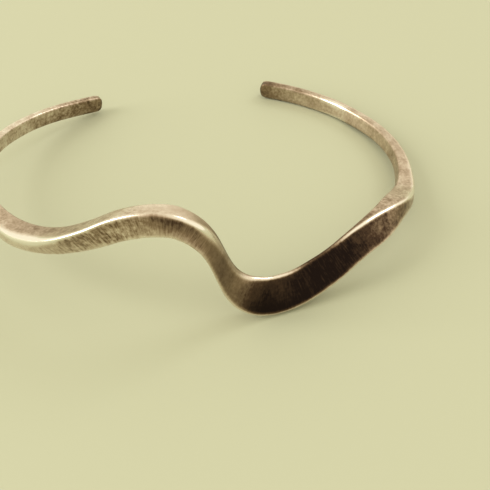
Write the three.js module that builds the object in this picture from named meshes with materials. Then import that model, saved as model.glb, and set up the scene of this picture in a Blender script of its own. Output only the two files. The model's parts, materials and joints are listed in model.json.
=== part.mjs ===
// Open cuff bracelet with a wave across the front, hammer-forged from one bar of silver.
//
// The bar is one springy piece. To let the cuff open, it is divided into a front wave and two
// arms, with a narrow bending gap where the wave runs into each arm. Millimetres, +Z up: the
// cuff lies on a table at Z = 0, its opening at the back (+Y) and its wave at the front (-Y).
import * as THREE from 'three';

// ---- Driving dimensions, in millimetres and degrees ----

// The bar's centreline, seen from above, is this ellipse. Angles run from +X through the back.
// Its centre is set so that the whole cuff is centred on the origin.
const HOOP_HALF_WIDTH = 30;
const HOOP_HALF_DEPTH = 24.8;
const HOOP_CENTRE_X = -0.1;
const HOOP_CENTRE_Y = 1.8;

// The tips round off beyond these angles, by TIP_LENGTH.
const LEFT_TIP_ANGLE = 118.5;
const LEFT_BEND_ANGLE = 217;
const RIGHT_BEND_ANGLE = 323;
const RIGHT_TIP_ANGLE = 422;

const BEND_GAP = 0.3;
const EDGE_RADIUS = 0.45;
const TIP_LENGTH = 1.3;

// Height of the bar's centreline above the table: [angle, height].
const LIFTS = [
  [110, 1.5], [118, 1.85], [140, 4.0], [165, 6.4], [190, 7.9], [207, 7.9], [220, 9.0],
  [230, 10.7], [240, 13.4], [248, 15.9], [255, 17.0], [261, 16.6], [267, 13.4], [272, 6.6],
  [278, 3.4], [286, 2.6], [296, 3.9], [308, 6.0], [322, 6.0], [340, 3.2], [360, 2.4],
  [390, 1.5], [422, 1.5], [430, 1.7],
];

// The bar's section: [angle, top width, base width, height, lean]. The inner face is square to
// the top and the base; the outer face slopes wherever their widths differ. Lean turns the
// whole section so that its outer face looks further up.
const SECTIONS = [
  [110, 1.2, 1.4, 2.7, 0], [150, 1.3, 1.5, 2.4, 0], [190, 1.7, 1.9, 2.2, 0],
  [215, 3.1, 3.1, 2.2, -2], [235, 3.6, 2.0, 3.0, 12], [252, 2.7, 2.5, 3.3, 14],
  [262, 2.6, 3.2, 2.7, 9], [270, 1.0, 3.5, 2.1, 0], [278, 0.5, 2.6, 4.6, 0],
  [290, 0.5, 2.2, 4.6, 8], [303, 0.5, 2.6, 3.7, 7], [315, 1.2, 3.6, 2.8, 5],
  [328, 3.0, 3.4, 2.6, 3], [350, 2.1, 2.7, 2.1, -11], [385, 1.6, 2.0, 2.4, -11],
  [430, 1.3, 1.6, 2.8, 0],
];

// Fineness of the solids: degrees between rings, and points round each rounded edge.
const ARM_STEP = 4;
const WAVE_STEP = 1.5;
const EDGE_POINTS = 4;
const TIP_RINGS = 4;

// ---- The bar's centreline and section ----

const radians = THREE.MathUtils.degToRad;

// A smooth curve through rows of [angle, value, value...].
function smoothThrough(rows) {
  const values = rows.flatMap((row) => row.slice(1));
  return new THREE.CubicInterpolant(rows.map((row) => row[0]), values, rows[0].length - 1);
}

const liftCurve = smoothThrough(LIFTS);
const sectionCurve = smoothThrough(SECTIONS);

function centrePoint(angle) {
  const [height] = liftCurve.evaluate(angle);
  return new THREE.Vector3(
    HOOP_CENTRE_X + HOOP_HALF_WIDTH * Math.cos(radians(angle)),
    HOOP_CENTRE_Y + HOOP_HALF_DEPTH * Math.sin(radians(angle)),
    height,
  );
}

// The directions along the bar, out of its outer face, and up its outer face.
function barFrame(angle, lean) {
  const along = centrePoint(angle + 0.5).sub(centrePoint(angle - 0.5)).normalize();
  const level = new THREE.Vector3().crossVectors(along, new THREE.Vector3(0, 0, 1)).normalize();
  const out = level.applyAxisAngle(along, radians(-lean));
  const up = new THREE.Vector3().crossVectors(out, along);
  return { along, out, up };
}

// Where the rounding of a corner starts, on the side that runs to its neighbour.
function roundingStart(corner, neighbour) {
  const side = neighbour.clone().sub(corner);
  return corner.clone().addScaledVector(side, Math.min(EDGE_RADIUS / side.length(), 0.4));
}

// One section of the bar, as points (out, up) about its centre: four sides, rounded edges.
function sectionOutline(topWidth, baseWidth, height) {
  const inside = -(topWidth + baseWidth) / 4;
  const corners = [
    new THREE.Vector2(inside + topWidth, height / 2),
    new THREE.Vector2(inside, height / 2),
    new THREE.Vector2(inside, -height / 2),
    new THREE.Vector2(inside + baseWidth, -height / 2),
  ];
  return corners.flatMap((corner, i) => {
    const start = roundingStart(corner, corners.at(i - 1));
    const end = roundingStart(corner, corners[(i + 1) % corners.length]);
    return new THREE.QuadraticBezierCurve(start, corner, end).getPoints(EDGE_POINTS - 1);
  });
}

// A ring of points round the bar. It can be moved along the bar and shrunk towards its centre.
function barRing(angle, shift = 0, shrink = 1) {
  const [topWidth, baseWidth, height, lean] = sectionCurve.evaluate(angle);
  const { along, out, up } = barFrame(angle, lean);
  const centre = centrePoint(angle).addScaledVector(along, shift);
  return sectionOutline(topWidth, baseWidth, height).map((point) => centre.clone()
    .addScaledVector(out, point.x * shrink)
    .addScaledVector(up, point.y * shrink));
}

// ---- Solids ----

// Rings between two angles, both ends included.
function ringsBetween(from, to, step) {
  const count = Math.round((to - from) / step);
  return Array.from({ length: count + 1 }, (_, i) => barRing(from + (to - from) * i / count));
}

// The rings that round off a tip. Direction is -1 at the bar's start and 1 at its end.
function tipRings(angle, direction) {
  const rings = [];
  for (let i = 1; i <= TIP_RINGS; i += 1) {
    const turn = radians(80 * i / TIP_RINGS);
    rings.push(barRing(angle, direction * TIP_LENGTH * Math.sin(turn), Math.cos(turn)));
  }
  return direction < 0 ? rings.reverse() : rings;
}

// A closed solid whose skin runs over the rings, with a flat face on the first and last.
function solidThroughRings(rings) {
  const sides = rings[0].length;
  const middle = (ring) => ring.reduce((sum, p) => sum.add(p), new THREE.Vector3())
    .divideScalar(sides);
  const points = [...rings.flat(), middle(rings[0]), middle(rings.at(-1))];
  const firstMiddle = points.length - 2;
  const lastMiddle = points.length - 1;
  const lastRing = (rings.length - 1) * sides;
  const faces = [];
  for (let side = 0; side < sides; side += 1) {
    const next = (side + 1) % sides;
    faces.push(firstMiddle, side, next);
    faces.push(lastMiddle, lastRing + next, lastRing + side);
    for (let start = 0; start < lastRing; start += sides) {
      faces.push(start + side, start + sides + side, start + next);
      faces.push(start + next, start + sides + side, start + sides + next);
    }
  }
  const geometry = new THREE.BufferGeometry().setFromPoints(points);
  geometry.setIndex(faces);
  geometry.computeVertexNormals();
  return geometry;
}

function leftArm() {
  const bar = ringsBetween(LEFT_TIP_ANGLE, LEFT_BEND_ANGLE, ARM_STEP);
  bar.splice(-1, 1, barRing(LEFT_BEND_ANGLE, -BEND_GAP / 2));
  return solidThroughRings([...tipRings(LEFT_TIP_ANGLE, -1), ...bar]);
}

function frontWave() {
  const bar = ringsBetween(LEFT_BEND_ANGLE, RIGHT_BEND_ANGLE, WAVE_STEP);
  bar.splice(0, 1, barRing(LEFT_BEND_ANGLE, BEND_GAP / 2));
  bar.splice(-1, 1, barRing(RIGHT_BEND_ANGLE, -BEND_GAP / 2));
  return solidThroughRings(bar);
}

function rightArm() {
  const bar = ringsBetween(RIGHT_BEND_ANGLE, RIGHT_TIP_ANGLE, ARM_STEP);
  bar.splice(0, 1, barRing(RIGHT_BEND_ANGLE, BEND_GAP / 2));
  return solidThroughRings([...bar, ...tipRings(RIGHT_TIP_ANGLE, 1)]);
}

// ---- The bracelet ----

function tarnishedSilver(colour, roughness) {
  return new THREE.MeshStandardMaterial({ color: colour, roughness, metalness: 1 });
}

const bracelet = new THREE.Group();
for (const [name, geometry, material] of [
  ['front_wave', frontWave(), tarnishedSilver(0x6e5c4c, 0.4)],
  ['left_arm', leftArm(), tarnishedSilver(0x9c8b76, 0.35)],
  ['right_arm', rightArm(), tarnishedSilver(0x8d7b68, 0.35)],
]) {
  const piece = new THREE.Mesh(geometry, material);
  piece.name = name;
  bracelet.add(piece);
}

export default bracelet;
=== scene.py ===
# %% [markdown]
# # An open cuff bracelet, forged from one silver bar
#
# A smith makes this cuff from a straight square bar. The bar is hammered to its changing
# thickness, its front edges are filed crisp, and only then is it bent round a mandrel. This lesson
# follows the same order, because a straight bar is easy to shape and a bent one is not: forge it
# straight, file its edges, mark where it tarnishes, bend it, and then build its finish.
#
# The CAD model gives the size, the resting pose and the two places where the cuff springs open.
# It holds the bar as three stretches, so that a simulation can bend it. The real thing is one
# unbroken bar, so two smooth halves that meet without a visible join replace them here.

# %% Load the CAD frame
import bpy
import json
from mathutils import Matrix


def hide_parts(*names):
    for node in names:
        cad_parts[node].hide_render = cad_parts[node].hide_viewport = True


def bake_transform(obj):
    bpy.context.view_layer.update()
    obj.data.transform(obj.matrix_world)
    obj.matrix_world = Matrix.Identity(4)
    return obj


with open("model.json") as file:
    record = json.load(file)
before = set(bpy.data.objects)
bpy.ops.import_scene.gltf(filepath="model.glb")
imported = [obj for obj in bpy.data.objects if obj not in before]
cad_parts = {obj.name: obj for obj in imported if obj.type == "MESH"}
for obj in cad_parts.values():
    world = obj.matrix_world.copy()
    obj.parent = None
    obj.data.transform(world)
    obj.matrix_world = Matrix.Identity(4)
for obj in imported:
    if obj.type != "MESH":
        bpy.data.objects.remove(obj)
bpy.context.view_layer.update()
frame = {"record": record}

# %% Tools used all the way through
import json
import math
from bisect import bisect_right

import bpy
from mathutils import Matrix, Vector

MM = 0.001
# Two places closer than this count as the same place when corners are chosen.
NEAR = 0.1 * MM


def deselect_everything():
    """Operators act on all that is selected, so each step starts with nothing selected."""
    bpy.ops.object.select_all(action="DESELECT")


def select_only(thing):
    deselect_everything()
    thing.select_set(True)
    bpy.context.view_layer.objects.active = thing


def choose(thing, kind, wanted):
    """In edit mode, select just the vertices or edges whose middle passes the test."""
    bpy.ops.mesh.select_mode(type=kind)
    bpy.ops.mesh.select_all(action="DESELECT")
    bpy.ops.object.mode_set(mode="OBJECT")
    places = [vertex.co for vertex in thing.data.vertices]
    if kind == "VERT":
        for vertex in thing.data.vertices:
            vertex.select = wanted(vertex.co)
    else:
        for edge in thing.data.edges:
            edge.select = wanted(sum((places[i] for i in edge.vertices), Vector()) / 2)
    bpy.ops.object.mode_set(mode="EDIT")


def finish_with(thing, kind, **settings):
    """Add a modifier with these settings and apply it."""
    modifier = thing.modifiers.new(kind.title(), kind)
    for name, value in settings.items():
        setattr(modifier, name, value)
    select_only(thing)
    bpy.ops.object.modifier_apply(modifier=modifier.name)


# %% [markdown]
# ## The line of the bar
#
# Seen from above, the middle of the bar follows an oval that fits a wrist. Seen from the front it
# runs level along both arms and swings up and down through one wave. The oval is a formula, and
# the wave is a short list of heights, joined by a smooth curve. The angle runs round the hoop
# anticlockwise from +X: 90 is the back, where the cuff is open, and 270 is the front.

# %% The hoop and its wave
HOOP_HALF_WIDTH = 30 * MM
HOOP_HALF_DEPTH = 24.8 * MM
HOOP_CENTRE = Vector((-0.1, 1.8, 0)) * MM
LEFT_TIP, WAVE_MIDDLE, RIGHT_TIP = 116, 270, 424.5

# Height of the middle of the bar above the table: angle, mm.
LIFTS = [
    (110, 1.5), (118, 1.85), (140, 4.0), (165, 6.4), (190, 7.9), (207, 7.9), (220, 9.0),
    (230, 10.7), (240, 13.4), (248, 15.9), (255, 17.0), (261, 16.6), (267, 13.4), (272, 6.6),
    (278, 3.4), (286, 2.6), (296, 3.9), (308, 6.0), (322, 6.0), (340, 3.2), (360, 2.4),
    (390, 1.5), (422, 1.5), (430, 1.7),
]


def smooth_between(rows, at):
    """The value of each column where the first column equals at, on a smooth curve."""
    last = next((i for i in range(1, len(rows)) if rows[i][0] > at), len(rows) - 1)
    (start, *v1), (end, *v2) = rows[last - 1], rows[last]
    span = end - start
    before, v0 = start - span, v2
    if last > 1:
        before, *v0 = rows[last - 2]
    after, v3 = end + span, v1
    if last + 1 < len(rows):
        after, *v3 = rows[last + 1]
    t = (at - start) / span
    values = []
    for a, b, c, d in zip(v0, v1, v2, v3):
        slope_in = 0.5 * ((b - a) * span / (start - before) + (c - b))
        slope_out = 0.5 * ((c - b) + (d - c) * span / (after - end))
        values.append(
            (2 * t**3 - 3 * t**2 + 1) * b + (t**3 - 2 * t**2 + t) * slope_in
            + (3 * t**2 - 2 * t**3) * c + (t**3 - t**2) * slope_out
        )
    return values


def middle_of_bar(angle):
    turn = math.radians(angle)
    (lift,) = smooth_between(LIFTS, angle)
    across, deep = HOOP_HALF_WIDTH * math.cos(turn), HOOP_HALF_DEPTH * math.sin(turn)
    return HOOP_CENTRE + Vector((across, deep, lift * MM))


LINE_STEPS_PER_DEGREE = 4
line_angles = [
    LEFT_TIP + i / LINE_STEPS_PER_DEGREE
    for i in range(int((RIGHT_TIP - LEFT_TIP) * LINE_STEPS_PER_DEGREE) + 1)
]
line_points = [middle_of_bar(angle) for angle in line_angles]
line_lengths = [0.0]
for here, there in zip(line_points, line_points[1:]):
    line_lengths.append(line_lengths[-1] + (there - here).length)
BAR_LENGTH = line_lengths[-1]


def angle_at(length):
    """The angle round the hoop that a place along the straight bar is going to reach."""
    i = min(max(bisect_right(line_lengths, length), 1), len(line_lengths) - 1)
    part = (length - line_lengths[i - 1]) / (line_lengths[i] - line_lengths[i - 1])
    return line_angles[i - 1] + part * (line_angles[i] - line_angles[i - 1])


print("the bar is", round(BAR_LENGTH / MM, 1), "mm long before bending")

# %% [markdown]
# ## The straight bar
#
# The real bar starts square and is hammered to a section that changes all the way along: nearly
# square in the arms, tall and leaning at the crest of the wave, and sharp on top through its
# trough. A cube stretched to the bar's length is divided into a hundred stretches, which leaves a
# ring of four corners at each division. Each ring can then be forged on its own.
#
# The straight bar lies along X. Its outer face looks along -Y, and its inner face along +Y.

# %% Stretch a cube and divide it along its length
STRETCHES = 100

deselect_everything()
bpy.ops.mesh.primitive_cube_add(
    size=1, location=(BAR_LENGTH / 2, 0, 0), scale=(BAR_LENGTH, MM, MM)
)
bar = bpy.context.active_object
bar.name = "silver_bar"
bpy.ops.object.transform_apply(location=True, rotation=True, scale=True)
bpy.ops.object.mode_set(mode="EDIT")
choose(bar, "EDGE", lambda middle: abs(middle.x - BAR_LENGTH / 2) < MM)
bpy.ops.mesh.subdivide(number_cuts=STRETCHES - 1)
bpy.ops.object.mode_set(mode="OBJECT")
print("square bar:", len(bar.data.vertices), "corners")

# %% [markdown]
# ## The edges
#
# Filing and years of wear leave each of the four long edges differently rounded, and the rounding
# changes along the bar: broad where the wave leaves the left arm, and crisp over the crest and
# along the trough. A Bevel modifier can round each edge by its own weight, so the weights are
# written while the bar is still square and its four edges are easy to tell apart.

# %% How round each long edge is
# Angle, then the rounding in mm of the top outer, base outer, top inner and base inner edges.
EDGE_ROUNDING = [
    (110, 0.40, 0.40, 0.30, 0.35), (190, 0.45, 0.45, 0.30, 0.35), (211, 0.52, 0.45, 0.30, 0.35),
    (219, 0.90, 0.40, 0.35, 0.35), (226, 1.10, 0.35, 0.35, 0.35), (233, 0.65, 0.32, 0.40, 0.35),
    (240, 0.36, 0.30, 0.40, 0.35), (255, 0.32, 0.30, 0.45, 0.35), (262, 0.36, 0.35, 0.40, 0.40),
    (266, 0.58, 0.40, 0.36, 0.42), (270, 0.50, 0.40, 0.28, 0.45), (274, 0.28, 0.40, 0.16, 0.50),
    (279, 0.15, 0.38, 0.14, 0.50), (300, 0.15, 0.38, 0.14, 0.45), (311, 0.16, 0.42, 0.20, 0.45),
    (319, 0.17, 0.55, 0.28, 0.40), (326, 0.20, 0.65, 0.30, 0.40), (333, 0.50, 0.65, 0.35, 0.35),
    (345, 0.55, 0.60, 0.35, 0.35), (360, 0.42, 0.45, 0.35, 0.35), (388, 0.40, 0.40, 0.32, 0.35),
    (393, 0.40, 0.40, 0.50, 0.35), (397, 0.40, 0.40, 0.65, 0.35), (401, 0.40, 0.40, 0.45, 0.35),
    (408, 0.40, 0.40, 0.32, 0.35), (430, 0.40, 0.40, 0.35, 0.35),
]
# The upright edges of each tip are closer together than its top and base edges.
TIP_ROUNDING, TIP_SIDE_ROUNDING = 1.25, 0.6
BROADEST_ROUNDING = max(TIP_ROUNDING, *(max(row[1:]) for row in EDGE_ROUNDING))

weights = bar.data.attributes.new("bevel_weight_edge", "FLOAT", "EDGE")
for edge in bar.data.edges:
    start, end = (bar.data.vertices[i].co for i in edge.vertices)
    middle = (start + end) / 2
    if abs(start.x - end.x) > NEAR:
        rounding = smooth_between(EDGE_ROUNDING, angle_at(middle.x))
        which_edge = (0 if middle.y < 0 else 2) + (0 if middle.z > 0 else 1)
        weights.data[edge.index].value = rounding[which_edge] / BROADEST_ROUNDING
    elif min(middle.x, BAR_LENGTH - middle.x) < NEAR:
        rounding = TIP_SIDE_ROUNDING if abs(middle.z) < NEAR else TIP_ROUNDING
        weights.data[edge.index].value = rounding / BROADEST_ROUNDING
print("roundings up to", BROADEST_ROUNDING, "mm are marked on the edges")

# %% [markdown]
# ## Forging the section
#
# Each ring is forged in the same three moves: its top pair of corners is spread to the width of the
# top, its base pair to the width of the base, and the whole ring is turned to its lean. The inner
# face stays upright, so a wider base makes the outer face slope.

# %% Forge every ring
# Angle, width of the top, width of the base, height, all in mm, then the lean in degrees.
SECTIONS = [
    (110, 1.2, 1.4, 2.7, 0), (150, 1.3, 1.5, 2.4, 0), (190, 1.7, 1.9, 2.2, 0),
    (215, 3.1, 3.1, 2.2, -2), (235, 3.6, 2.0, 3.0, 12), (252, 2.7, 2.5, 3.3, 14),
    (262, 2.6, 3.2, 2.7, 9), (270, 1.0, 3.5, 2.1, 0), (278, 0.5, 2.6, 4.6, 0),
    (290, 0.5, 2.2, 4.6, 8), (303, 0.5, 2.6, 3.7, 7), (315, 1.2, 3.6, 2.8, 5),
    (328, 3.0, 3.4, 2.6, 3), (350, 2.1, 2.7, 2.1, -11), (385, 1.6, 2.0, 2.4, -11),
    (430, 1.3, 1.6, 2.8, 0),
]


def on_a_ring(middle):
    """Whether an edge lies in one of the rings, not along the bar between two of them."""
    ring = middle.x / BAR_LENGTH * STRETCHES
    return abs(ring - round(ring)) < 0.1


bpy.ops.object.mode_set(mode="EDIT")
for ring in range(STRETCHES + 1):
    x = BAR_LENGTH * ring / STRETCHES
    middle = (x, 0, 0)
    # The square bar is 1 mm thick, so a width in mm is also how many times it is spread.
    top, base, height, lean = smooth_between(SECTIONS, angle_at(x))
    for side, width in ((1, top), (-1, base)):
        shift = side * (base - top) / 4 * MM
        rise = side * (height - 1) / 2 * MM
        choose(bar, "VERT", lambda co: abs(co.x - x) < NEAR and co.z * side > 0)
        bpy.ops.transform.resize(value=(1, width, 1), center_override=middle)
        bpy.ops.transform.translate(value=(0, shift, rise))
    choose(bar, "VERT", lambda co: abs(co.x - x) < NEAR)
    bpy.ops.transform.rotate(value=math.radians(lean), orient_axis="X", center_override=middle)

# A line of corners down the middle of every face keeps it flat when the bar is smoothed.
choose(bar, "EDGE", on_a_ring)
bpy.ops.mesh.subdivide(number_cuts=1)
bpy.ops.object.mode_set(mode="OBJECT")
print("forged bar:", [round(side / MM, 2) for side in bar.dimensions], "mm")

# %% [markdown]
# ## Filing, smoothing and the marks of the hammer
#
# The Bevel modifier rounds the marked edges, and Subdivision Surface then smooths the bar between
# its rings. A hand-forged face is never quite flat: planishing leaves shallow hollows a few
# millimetres across. A Displace modifier with a soft cloud pattern makes them, and they show as
# slow bends in the reflections.

# %% Round, smooth and planish
HOLLOW_SIZE = 5 * MM
HOLLOW_DEPTH = 0.09 * MM

hammer_marks = bpy.data.textures.new("hammer_marks", "CLOUDS")
hammer_marks.noise_scale = HOLLOW_SIZE
hammer_marks.noise_depth = 1

finish_with(
    bar, "BEVEL", limit_method="WEIGHT", width=BROADEST_ROUNDING * MM, segments=3,
    use_clamp_overlap=False,
)
finish_with(bar, "SUBSURF", levels=2, render_levels=2)
finish_with(bar, "DISPLACE", texture=hammer_marks, texture_coords="LOCAL", strength=HOLLOW_DEPTH)
print("smoothed bar:", len(bar.data.polygons), "faces")

# %% [markdown]
# ## How tarnish settled on the bar, and the shade painted on it
#
# Silver tarnishes in steps: bright metal, a pinkish straw film, brown, and in the end almost black.
# How far it has gone depends on the place: the top has been rubbed against sleeves and stays
# pale, the outer face of the wave is dark, and every edge is worn bright. Painted on top of this is
# shade just under the top edge of the wave's outer face, and the near-black of the trough's outer
# face is partly a painted dark reflection. Tarnish and wear belong to the bar and not to the space
# round it, so they are stored on the mesh while it is straight, and the painted shade goes with
# them: `bar_place` is the place on the straight bar, the tarnish attribute is 0 or less where the
# metal is bright and 1 where it is black, and `brushed` and `blotchy` say where the file's strokes
# show and where the film is uneven.

# %% Tarnish and painted shade of each face along the bar
# Angle, then the tarnish of the top, the outer face, the inner face and the base, and last a
# painted
# shade: how much darker the outer face is painted just under its top edge than in its middle.
TARNISH_AND_PAINTED_SHADE = [
    (110, 0.55, 0.70, 0.75, 0.6, 0.0), (118, 0.50, 0.60, 0.60, 0.6, 0.0),
    (126, 0.42, 0.45, 0.50, 0.6, 0.0), (136, 0.32, 0.40, 0.42, 0.5, 0.0),
    (146, 0.22, 0.32, 0.32, 0.5, 0.0), (175, 0.24, 0.35, 0.38, 0.5, 0.0),
    (205, 0.33, 0.28, 0.45, 0.5, 0.0), (220, 0.42, 0.22, 0.45, 0.5, 0.0),
    (231, 0.40, 0.32, 0.45, 0.5, 0.08), (243, 0.28, 0.42, 0.45, 0.5, 0.14),
    (252, 0.26, 0.38, 0.45, 0.5, 0.14), (258, 0.25, 0.56, 0.45, 0.5, 0.26),
    (264, 0.42, 0.60, 0.50, 0.5, 0.18), (270, 0.72, 0.50, 0.60, 0.5, 0.0),
    # From 277 to 307 the outer face is near black: partly the film's own dark colour and partly a
    # painted dark reflection of the space in front of the cuff.
    (273, 0.60, 0.55, 0.60, 0.5, 0.0), (277, 0.42, 0.92, 0.60, 0.5, -0.10),
    (286, 0.42, 0.98, 0.60, 0.5, -0.08), (294, 0.80, 0.98, 0.60, 0.5, 0.0),
    (301, 0.80, 0.98, 0.60, 0.5, 0.0), (307, 0.60, 0.96, 0.58, 0.5, 0.0),
    (313, 0.50, 0.86, 0.55, 0.5, 0.0), (321, 0.42, 0.70, 0.50, 0.5, 0.0),
    (329, 0.34, 0.48, 0.45, 0.5, 0.0), (345, 0.34, 0.34, 0.42, 0.5, 0.0),
    (365, 0.33, 0.36, 0.38, 0.5, 0.0), (395, 0.33, 0.38, 0.32, 0.5, 0.0),
    (408, 0.42, 0.45, 0.36, 0.6, 0.0), (417, 0.52, 0.60, 0.44, 0.7, 0.0),
    (424, 0.70, 0.75, 0.62, 0.8, 0.0), (430, 0.85, 0.90, 0.80, 0.9, 0.0),
]
# Angle, then how strongly the file's strokes show on the outer face, and how blotchy the film is.
FILM_PATTERN = [
    (110, 0.0, 1.1), (195, 0.0, 0.9), (214, 0.1, 0.6), (225, 0.6, 0.7), (246, 0.8, 1.1),
    (251, 0.45, 0.9), (257, 0.4, 0.5), (262, 0.6, 0.35), (270, 0.2, 0.35), (276, 0.15, 0.5),
    (290, 0.35, 0.7), (300, 0.6, 0.8), (308, 0.3, 0.9), (330, 0.1, 0.9), (345, 0.0, 0.7),
    (430, 0.0, 0.7),
]
# Angle, then how bright wear has left the top outer, base outer and the two inner edges.
WORN = [
    (110, 0.5, 0.3, 0.1), (205, 1.0, 0.4, 0.1), (250, 1.0, 0.5, 0.2), (254, 0.4, 0.5, 0.2),
    (257, 0.4, 0.5, 0.2), (260, 1.0, 0.5, 0.2), (265, 1.0, 0.5, 0.2), (269, 0.4, 0.5, 0.2),
    (275, 0.8, 0.9, 0.2), (287, 0.8, 1.0, 0.2), (294, 0.2, 1.0, 0.1), (301, 0.3, 1.0, 0.1),
    (306, 1.0, 1.0, 0.1), (326, 1.0, 1.0, 0.1), (345, 0.6, 0.8, 0.1), (390, 0.5, 0.3, 0.0),
    (394, 0.5, 0.3, 0.9), (398, 0.5, 0.3, 0.9), (403, 0.5, 0.3, 0.3), (430, 0.5, 0.3, 0.0),
]
# Wear reaches this far on each side of an edge, in mm, and further where the edge is rounder. It
# takes off nearly all of the film.
WORN_WIDTH, WORN_WIDTH_PER_ROUNDING = 0.12, 0.5
MOST_RUBBED_OFF = 0.95
# A rounded edge lies this share of its rounding inside the sharp corner that it came from.
ROUND_EDGE_INSET = 0.4


def settle_tarnish_and_painted_shade(mesh):
    """Store bar_place, the tarnish with its painted shade, brushed and blotchy on the straight bar.
    """
    mesh.attributes.new("bar_place", "FLOAT_VECTOR", "POINT")
    for name in ("tarnish_and_painted_shade", "brushed", "blotchy"):
        mesh.attributes.new(name, "FLOAT", "POINT")
    place, tarnish_and_painted_shade, brushed, blotchy = (
        mesh.attributes[name].data for name in ("bar_place", "tarnish_and_painted_shade", "brushed", "blotchy")
    )
    for vertex in mesh.vertices:
        angle = angle_at(vertex.co.x)
        top, base, height, lean = smooth_between(SECTIONS, angle)
        unlean = Matrix.Rotation(math.radians(lean), 3, "X")
        flat, facing = unlean @ vertex.co / MM, unlean @ vertex.normal
        of_top, of_outer, of_inner, of_base, painted_shade_under_top = smooth_between(TARNISH_AND_PAINTED_SHADE, angle)
        # Painted shade: this darkens the outer face towards its top edge and lightens it towards
        # its base.
        of_outer += painted_shade_under_top * 2 * flat.z / height
        # What looks along the bar is a tip's end, and it is as dark as the top there.
        shares = (
            (max(facing.z, 0) ** 2, of_top), (max(-facing.y, 0) ** 2, of_outer),
            (max(facing.y, 0) ** 2, of_inner), (max(-facing.z, 0) ** 2, of_base),
            (facing.x**2, of_top),
        )
        settled = sum(share * depth for share, depth in shares) / sum(share for share, _ in shares)
        roundings = smooth_between(EDGE_ROUNDING, angle)
        inside = (top + base) / 4
        worn_top, worn_base, worn_inner = smooth_between(WORN, angle)
        corners = (
            (inside - top, height / 2, worn_top), (inside - base, -height / 2, worn_base),
            (inside, height / 2, worn_inner), (inside, -height / 2, worn_inner),
        )
        rubbed = 0.0
        for (across, up, wear), rounding in zip(corners, roundings):
            reach = Vector((flat.y - across, flat.z - up)).length - ROUND_EDGE_INSET * rounding
            beyond = max(reach, 0) / (WORN_WIDTH + WORN_WIDTH_PER_ROUNDING * rounding)
            rubbed = max(rubbed, wear * math.exp(-(beyond**2)))
        place[vertex.index].vector = Vector((vertex.co.x, flat.y * MM, flat.z * MM))
        tarnish_and_painted_shade[vertex.index].value = settled * (1 - MOST_RUBBED_OFF * rubbed)
        strokes, blotches = smooth_between(FILM_PATTERN, angle)
        brushed[vertex.index].value = strokes * max(-facing.y, 0) * (1 - rubbed)
        blotchy[vertex.index].value = blotches


settle_tarnish_and_painted_shade(bar.data)
depths = [item.value for item in bar.data.attributes["tarnish_and_painted_shade"].data]
print("tarnish from", round(min(depths), 2), "to", round(max(depths), 2))

# %% [markdown]
# ## Two halves
#
# Each arm springs open on its own, so the bar is made as a left and a right half that meet in the
# steepest part of the wave. The meeting place doesn't move in any pose, so no join shows. Bisect
# cuts a copy of the bar there, throws away one side and closes the cut. The tarnish is already
# stored, so the new corners take it from the metal on both sides, and the halves match.

# %% Cut the bar in the middle of the wave
MIDDLE_LENGTH = line_lengths[line_angles.index(WAVE_MIDDLE)]

halves = []
for name, clear_right in (("left_half", True), ("right_half", False)):
    select_only(bar)
    bpy.ops.object.duplicate()
    half = bpy.context.active_object
    half.name = half.data.name = name
    bpy.ops.object.mode_set(mode="EDIT")
    bpy.ops.mesh.select_all(action="SELECT")
    bpy.ops.mesh.bisect(
        plane_co=(MIDDLE_LENGTH, 0, 0), plane_no=(1, 0, 0), use_fill=True,
        clear_outer=clear_right, clear_inner=not clear_right,
    )
    bpy.ops.object.mode_set(mode="OBJECT")
    halves.append(half)
left_half, right_half = halves
bpy.data.objects.remove(bar)
print("halves:", [len(half.data.polygons) for half in halves], "faces")

# %% [markdown]
# ## Bending it round
#
# A Curve modifier carries the straight bar onto the line of the hoop and its wave, just as the
# smith's mandrel does. The curve's Z Up twist keeps every ring upright, which is how the CAD model
# turns its sections too.

# %% Bend both halves
line_data = bpy.data.curves.new("hoop_line", "CURVE")
line_data.dimensions = "3D"
line_data.twist_mode = "Z_UP"
spline = line_data.splines.new("POLY")
spline.points.add(len(line_points) - 1)
for point, place in zip(spline.points, line_points):
    point.co = (*place, 1)
hoop_line = bpy.data.objects.new("hoop_line", line_data)
bpy.context.collection.objects.link(hoop_line)

for half in halves:
    finish_with(half, "CURVE", object=hoop_line, deform_axis="POS_X")
    bpy.ops.object.shade_smooth_by_angle(angle=math.radians(60))
bpy.data.objects.remove(hoop_line)

bent = [vertex.co for half in halves for vertex in half.data.vertices]
bent_low = Vector([min(co[axis] for co in bent) for axis in range(3)])
bent_high = Vector([max(co[axis] for co in bent) for axis in range(3)])
print("bent bar, mm: from", [round(v / MM, 2) for v in bent_low],
      "to", [round(v / MM, 2) for v in bent_high])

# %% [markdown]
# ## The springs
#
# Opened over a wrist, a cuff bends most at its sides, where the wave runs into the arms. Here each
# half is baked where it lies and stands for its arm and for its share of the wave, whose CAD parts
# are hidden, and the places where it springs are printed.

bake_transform(left_half)
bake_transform(right_half)
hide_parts("left_arm", "front_wave")
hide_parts("right_arm", "front_wave")
for joint in frame["record"]["behaviour"]["joints"]:
    print(joint["name"], "is at", [round(side / MM, 1) for side in joint["pos_m"]], "mm")

# %% [markdown]
# ## Oxidised sterling silver
#
# The finish is one material for the whole bar: sterling silver, filed, brushed and left to
# tarnish. Bare silver is a neutral, very bright mirror. The sulphide film on it is thin, so it is
# still a metal to the eye: it tints the reflection pinkish straw, then brown, then nearly black,
# and it scatters the light a little more than the bare metal does.

# %% Colours and the node helper
def linear(hex_colour):
    """An sRGB hex colour as the linear RGBA that shaders use."""
    parts = [int(hex_colour[i:i + 2], 16) / 255 for i in (1, 3, 5)]
    return [c / 12.92 if c <= 0.04045 else ((c + 0.055) / 1.055) ** 2.4 for c in parts] + [1]


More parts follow.
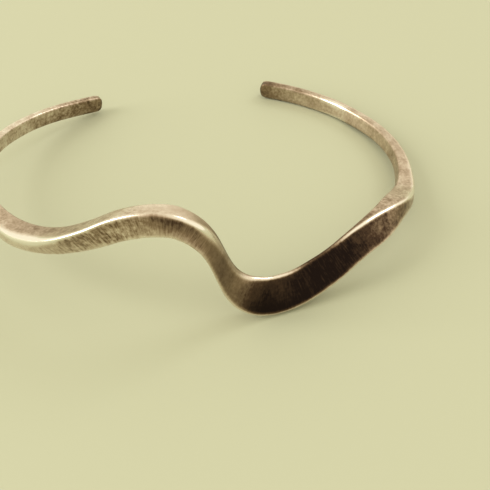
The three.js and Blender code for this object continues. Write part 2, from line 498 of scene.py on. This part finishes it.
def add_node(material, kind, inputs=None, **settings):
    """Add a node. Each input is given a plain value, or the output socket that feeds it."""
    node = material.node_tree.nodes.new(kind)
    for name, value in settings.items():
        setattr(node, name, value)
    for name, value in (inputs or {}).items():
        if isinstance(value, bpy.types.NodeSocket):
            material.node_tree.links.new(value, node.inputs[name])
        else:
            node.inputs[name].default_value = value
    return node


def set_ramp(ramp, stops):
    """Give a Color Ramp node these (position, colour) stops."""
    elements = ramp.color_ramp.elements
    while len(elements) < len(stops):
        elements.new(0.5)
    for element, (position, colour) in zip(elements, stops):
        element.position, element.color = position, colour


print("bare silver is", [round(c, 2) for c in linear("#f2eee6")[:3]])

# %% Build the silver
# All in mm.
CLOUD_SIZE = 1.6
SPECK_SIZE = 0.40
STROKE_WIDTH, STROKE_LENGTH = 0.17, 1.6
STROKE_DEPTH = 0.02
# How far clouds and specks swing the tarnish either way.
CLOUD_SWING, SPECK_SWING = 1.9, 1.3
# The colour of the film and its roughness, each at some depths of tarnish.
FILM_COLOURS = [
    (0.00, "#f6f2ea"), (0.18, "#e2d7c8"), (0.34, "#c0ae9b"), (0.52, "#8d7963"),
    (0.74, "#4f3e31"), (0.95, "#211917"),
]
FILM_ROUGHNESS = [(0.00, 0.13), (0.25, 0.30), (0.60, 0.42), (1.00, 0.36)]


def silver_material():
    # The film settles in clouds a millimetre or two wide, with finer specks in them. The file's
    # strokes run across the bar and hold more of it, in patches.
    silver = bpy.data.materials.new("oxidised_sterling_silver_brushed")
    silver.use_nodes = True
    nodes, links = silver.node_tree.nodes, silver.node_tree.links
    surface = nodes["Principled BSDF"]

    def math_of(operation, *values):
        return add_node(
            silver, "ShaderNodeMath", dict(enumerate(values)), operation=operation
        ).outputs[0]

    place = add_node(silver, "ShaderNodeAttribute", attribute_name="bar_place").outputs["Vector"]
    # The tarnish attribute also carries the painted shade and the painted dark reflection on the
    # outer face.
    tarnish_and_painted_shade = add_node(silver, "ShaderNodeAttribute", attribute_name="tarnish_and_painted_shade").outputs["Fac"]
    brushed = add_node(silver, "ShaderNodeAttribute", attribute_name="brushed").outputs["Fac"]
    blotchy = add_node(silver, "ShaderNodeAttribute", attribute_name="blotchy").outputs["Fac"]

    clouds = add_node(silver, "ShaderNodeTexNoise", {
        "Vector": place, "Scale": 1 / (CLOUD_SIZE * MM), "Detail": 3, "Roughness": 0.6})
    specks = add_node(silver, "ShaderNodeTexNoise", {
        "Vector": place, "Scale": 1 / (SPECK_SIZE * MM), "Detail": 2, "Roughness": 0.7})
    across = add_node(silver, "ShaderNodeMapping", {
        "Vector": place, "Scale": (1 / (STROKE_WIDTH * MM), *2 * [1 / (STROKE_LENGTH * MM)])})
    strokes = add_node(silver, "ShaderNodeTexNoise", {
        "Vector": across.outputs["Vector"], "Scale": 1, "Detail": 2, "Roughness": 0.6,
        "Distortion": 0.4})

    # Clouds and specks swing the tarnish either way, but bare metal and full black hold steady.
    cloud_part = math_of("SUBTRACT", clouds.outputs["Fac"], 0.5)
    speck_part = math_of("SUBTRACT", specks.outputs["Fac"], 0.5)
    cloud_swing = math_of("MULTIPLY", cloud_part, CLOUD_SWING)
    speck_swing = math_of("MULTIPLY", speck_part, SPECK_SWING)
    swing = math_of("MULTIPLY", math_of("ADD", cloud_swing, speck_swing), blotchy)
    left_to_go = math_of("SUBTRACT", 1.0, tarnish_and_painted_shade)
    room = math_of("MULTIPLY_ADD", math_of("MULTIPLY", tarnish_and_painted_shade, left_to_go), 1.15, 0.04)
    settled = math_of("MULTIPLY_ADD", swing, room, tarnish_and_painted_shade)
    # A stroke is deepest inside a cloud.
    patch = math_of("MULTIPLY_ADD", clouds.outputs["Fac"], 2.4, -0.3)
    stroke_swing = math_of("MULTIPLY", math_of("SUBTRACT", strokes.outputs["Fac"], 0.47), patch)
    depth = math_of("MULTIPLY_ADD", stroke_swing, brushed, settled)

    film = add_node(silver, "ShaderNodeValToRGB", {"Fac": depth})
    set_ramp(film, [(at, linear(colour)) for at, colour in FILM_COLOURS])
    links.new(film.outputs["Color"], surface.inputs["Base Color"])

    scatter = add_node(silver, "ShaderNodeValToRGB", {"Fac": depth})
    set_ramp(scatter, [(at, 3 * [roughness] + [1]) for at, roughness in FILM_ROUGHNESS])
    links.new(scatter.outputs["Color"], surface.inputs["Roughness"])

    bump = add_node(silver, "ShaderNodeBump", {
        "Height": math_of("MULTIPLY", strokes.outputs["Fac"], brushed),
        "Distance": STROKE_DEPTH * MM, "Strength": 0.5})
    links.new(bump.outputs["Normal"], surface.inputs["Normal"])
    surface.inputs["Metallic"].default_value = 1
    return silver


silver = silver_material()
for half in halves:
    half.data.materials.clear()
    half.data.materials.append(silver)
print("silver has", len(silver.node_tree.nodes), "nodes")

# %% [markdown]
# ## Table, light and camera
#
# The cuff lies on a plain pale table in a bright room. Metal shows mostly what is round it, so
# the lights matter as much as the finish. A tall window on the left draws the bright line along
# the worn edge of the wave, and a smaller one, high on the right, finds the far side of the crest
# and the edge of the trough. Nothing bright hangs overhead, where it would wash out both.

# %% Table
TABLE_SIZE = 1.2
TABLE_COLOUR, TABLE_ROUGHNESS = "#b7baa1", 0.72

deselect_everything()
bpy.ops.mesh.primitive_plane_add(size=TABLE_SIZE, location=(0, 0, 0))
table = bpy.context.active_object
table.name = "table"
table_top = bpy.data.materials.new("limed_wood_matt")
table_top.use_nodes = True
table_surface = table_top.node_tree.nodes["Principled BSDF"]
table_surface.inputs["Base Color"].default_value = linear(TABLE_COLOUR)
table_surface.inputs["Roughness"].default_value = TABLE_ROUGHNESS
table.data.materials.append(table_top)
print("table", TABLE_SIZE, "m square")

# %% Lights
LIGHT_AIM = Vector((0, 0, 5)) * MM
ROOM_COLOUR, ROOM_STRENGTH = "#ece4cc", 1.27


def add_soft_light(name, place, width, height, power, colour):
    """A glowing rectangle that faces the cuff. Sizes are in metres and power in watts."""
    light = bpy.data.lights.new(name, "AREA")
    light.shape = "RECTANGLE"
    light.size, light.size_y = width, height
    light.energy = power
    light.color = linear(colour)[:3]
    lamp = bpy.data.objects.new(name, light)
    lamp.location = place
    lamp.rotation_euler = (LIGHT_AIM - Vector(place)).to_track_quat("-Z", "Y").to_euler()
    bpy.context.collection.objects.link(lamp)


add_soft_light("left_window", (-0.88, -0.02, 0.45), 0.40, 0.95, 6.8, "#fffaf0")
add_soft_light("right_window", (0.58, 0.26, 0.64), 0.34, 0.34, 1.00, "#ffffff")

world = bpy.data.worlds.new("room")
bpy.context.scene.world = world
world.use_nodes = True
room = world.node_tree.nodes["Background"]
room.inputs["Color"].default_value = linear(ROOM_COLOUR)
room.inputs["Strength"].default_value = ROOM_STRENGTH
bpy.context.scene.view_settings.view_transform = "Standard"
print("lights:", sorted(light.name for light in bpy.data.lights))

# %% Camera
CAMERA_PLACE = Vector((-9.24, -95.68, 84.35)) * MM
CAMERA_AIM = Vector((4.61, -10.57, 0)) * MM
FOCAL_LENGTH, SENSOR_WIDTH = 64.3, 36
NEAREST_SEEN = 5 * MM

lens = bpy.data.cameras.new("camera")
lens.lens = FOCAL_LENGTH
lens.sensor_width = SENSOR_WIDTH
lens.clip_start = NEAREST_SEEN
camera = bpy.data.objects.new("camera", lens)
camera.location = CAMERA_PLACE
camera.rotation_euler = (CAMERA_AIM - CAMERA_PLACE).to_track_quat("-Z", "Y").to_euler()
bpy.context.collection.objects.link(camera)
bpy.context.scene.camera = camera
print("camera is", round((CAMERA_AIM - CAMERA_PLACE).length / MM), "mm from the cuff")
